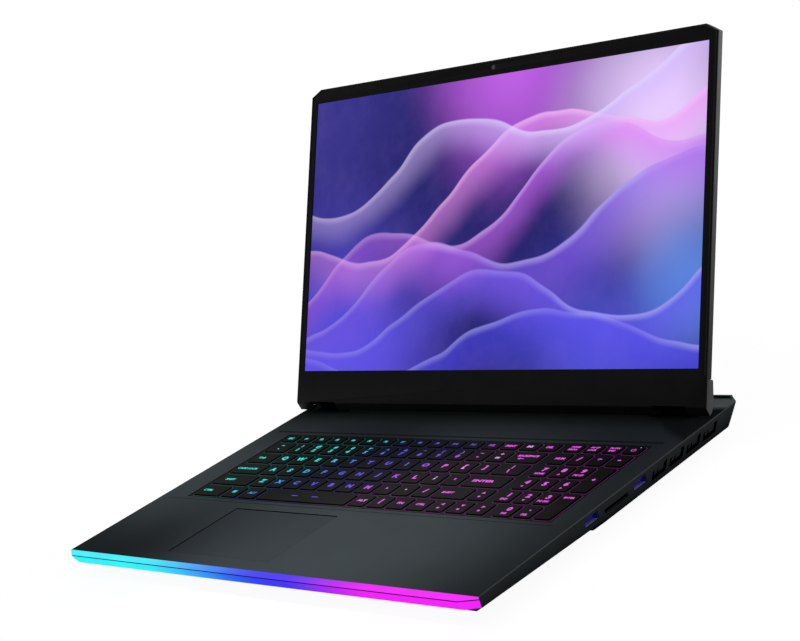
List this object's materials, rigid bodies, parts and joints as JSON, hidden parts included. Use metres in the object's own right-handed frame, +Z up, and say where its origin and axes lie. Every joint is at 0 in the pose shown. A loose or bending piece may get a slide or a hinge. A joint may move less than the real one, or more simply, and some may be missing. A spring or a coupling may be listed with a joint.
{
  "type": "laptop computer",
  "caption": "Open laptop computer with a large screen on a friction hinge, a full keyboard with a number pad, a touchpad, a front light bar and rear vents.",
  "frame": {"origin": "centre of the footprint of the open laptop, at the underside of its feet", "axes": "+X to the user's right, +Y to the rear, +Z up"},
  "size_m": [0.397, 0.364, 0.2527],
  "materials": {
    "case_metal": "fine bead-blasted, anodised dark grey",
    "dark_plastic": "fine moulded texture",
    "lid_metal": "fine bead-blasted, anodised dark grey",
    "rubber": "matte",
    "steel": "plain",
    "dark_steel": "black oxide",
    "key_plastic": "soft-touch coating",
    "key_backlight": "dark plate lit along the keys",
    "light_diffuser": "lit light guide",
    "touch_glass": "etched",
    "bezel_plastic": "fine matte",
    "display": "lit picture behind an anti-glare film",
    "panel_metal": "plain",
    "board": "solder mask",
    "chip": "moulded package",
    "copper": "plain",
    "fin_metal": "plated fins",
    "battery": "wrapped cells",
    "port_metal": "plated shell",
    "port_blue": "blue tongue in a plated shell",
    "port_black": "moulded",
    "lens": "coated lens"
  },
  "bodies": {
    "base": {"top_case": "case_metal", "bottom_cover": "dark_plastic", "rubber_feet": "rubber", "cover_screws": "dark_steel", "light_bar_upper": "light_diffuser", "light_bar_lower": "light_diffuser", "light_bar_seam": "dark_plastic", "rear_grilles": "dark_plastic", "keyboard_frame": "case_metal", "keyboard_plate": "key_backlight", "touchpad_bracket": "steel", "motherboard": "board", "processors": "chip", "memory_modules": "board", "solid_state_drive": "board", "wireless_card": "board", "cold_plate": "copper", "heat_pipes": "copper", "heatsink_left": "fin_metal", "heatsink_right": "fin_metal", "fan_housing_left": "dark_plastic", "fan_housing_right": "dark_plastic", "battery_pack": "battery", "speakers": "dark_plastic", "usb_ports": "port_blue", "memory_card_slot": "port_black", "usb_c_port": "port_metal", "audio_jack": "port_black", "network_port": "port_metal", "video_ports": "port_metal", "power_inlet": "port_black", "hinge_bracket_left": "dark_steel", "hinge_bracket_right": "dark_steel"},
    "lid": {"hinge_arms": "dark_steel", "hinge_pins": "steel", "hinge_cover": "lid_metal", "lid_cover": "lid_metal", "screen_bezel": "bezel_plastic", "display_panel": "panel_metal", "screen_glass": "display", "webcam": "lens", "lid_gasket": "rubber"},
    "touchpad": {"touchpad": "touch_glass"},
    "fan_rotor_left": {"fan_rotor_left": "dark_plastic"},
    "fan_rotor_right": {"fan_rotor_right": "dark_plastic"},
    "power_key": {"power_key": "key_plastic"},
    "escape_key": {"escape_key": "key_plastic"},
    "function_keys": {"function_keys": "key_plastic"},
    "number_keys": {"number_keys": "key_plastic"},
    "backspace_key": {"backspace_key": "key_plastic"},
    "letter_keys": {"letter_keys": "key_plastic"},
    "side_keys": {"side_keys": "key_plastic"},
    "enter_key": {"enter_key": "key_plastic"},
    "shift_keys": {"shift_keys": "key_plastic"},
    "modifier_keys": {"modifier_keys": "key_plastic"},
    "space_bar": {"space_bar": "key_plastic"},
    "arrow_keys": {"arrow_keys": "key_plastic"},
    "pad_keys": {"pad_keys": "key_plastic"},
    "pad_plus_key": {"pad_plus_key": "key_plastic"},
    "pad_enter_key": {"pad_enter_key": "key_plastic"}
  },
  "joints": [
    {"name": "lid_hinge", "type": "hinge", "parent": "base", "child": "lid", "pos_m": [0, 0.06871, 0.0275], "axis": [1, 0, 0], "range_deg": [-18, 117.2]},
    {"name": "touchpad_click", "type": "hinge", "parent": "base", "child": "touchpad", "pos_m": [-0.0466, -0.09949, 0.0172], "axis": [1, 0, 0], "range_deg": [0, 0.45], "stiffness_Nm_per_rad": 6, "springref_deg": -0.34},
    {"name": "fan_left_spin", "type": "hinge", "parent": "base", "child": "fan_rotor_left", "pos_m": [-0.13, 0.02411, 0.008], "axis": [0, 0, 1], "continuous": true},
    {"name": "fan_right_spin", "type": "hinge", "parent": "base", "child": "fan_rotor_right", "pos_m": [0.13, 0.02411, 0.008], "axis": [0, 0, 1], "continuous": true},
    {"name": "power_press", "type": "slide", "parent": "base", "child": "power_key", "axis": [0, 0, -1], "range_m": [0, 0.0017], "stiffness_N_per_m": 350, "springref_m": -0.0006},
    {"name": "escape_press", "type": "slide", "parent": "base", "child": "escape_key", "axis": [0, 0, -1], "range_m": [0, 0.0017], "stiffness_N_per_m": 350, "springref_m": -0.0006},
    {"name": "function_press", "type": "slide", "parent": "base", "child": "function_keys", "axis": [0, 0, -1], "range_m": [0, 0.0017], "stiffness_N_per_m": 6300, "springref_m": -0.0006},
    {"name": "number_press", "type": "slide", "parent": "base", "child": "number_keys", "axis": [0, 0, -1], "range_m": [0, 0.0017], "stiffness_N_per_m": 4550, "springref_m": -0.0006},
    {"name": "backspace_press", "type": "slide", "parent": "base", "child": "backspace_key", "axis": [0, 0, -1], "range_m": [0, 0.0017], "stiffness_N_per_m": 350, "springref_m": -0.0006},
    {"name": "letter_press", "type": "slide", "parent": "base", "child": "letter_keys", "axis": [0, 0, -1], "range_m": [0, 0.0017], "stiffness_N_per_m": 11550, "springref_m": -0.0006},
    {"name": "side_press", "type": "slide", "parent": "base", "child": "side_keys", "axis": [0, 0, -1], "range_m": [0, 0.0017], "stiffness_N_per_m": 1050, "springref_m": -0.0006},
    {"name": "enter_press", "type": "slide", "parent": "base", "child": "enter_key", "axis": [0, 0, -1], "range_m": [0, 0.0017], "stiffness_N_per_m": 350, "springref_m": -0.0006},
    {"name": "shift_press", "type": "slide", "parent": "base", "child": "shift_keys", "axis": [0, 0, -1], "range_m": [0, 0.0017], "stiffness_N_per_m": 700, "springref_m": -0.0006},
    {"name": "modifier_press", "type": "slide", "parent": "base", "child": "modifier_keys", "axis": [0, 0, -1], "range_m": [0, 0.0017], "stiffness_N_per_m": 2450, "springref_m": -0.0006},
    {"name": "space_press", "type": "slide", "parent": "base", "child": "space_bar", "axis": [0, 0, -1], "range_m": [0, 0.0017], "stiffness_N_per_m": 350, "springref_m": -0.0006},
    {"name": "arrow_press", "type": "slide", "parent": "base", "child": "arrow_keys", "axis": [0, 0, -1], "range_m": [0, 0.0017], "stiffness_N_per_m": 1400, "springref_m": -0.0006},
    {"name": "pad_press", "type": "slide", "parent": "base", "child": "pad_keys", "axis": [0, 0, -1], "range_m": [0, 0.0017], "stiffness_N_per_m": 5250, "springref_m": -0.0006},
    {"name": "pad_plus_press", "type": "slide", "parent": "base", "child": "pad_plus_key", "axis": [0, 0, -1], "range_m": [0, 0.0017], "stiffness_N_per_m": 350, "springref_m": -0.0006},
    {"name": "pad_enter_press", "type": "slide", "parent": "base", "child": "pad_enter_key", "axis": [0, 0, -1], "range_m": [0, 0.0017], "stiffness_N_per_m": 350, "springref_m": -0.0006}
  ]
}
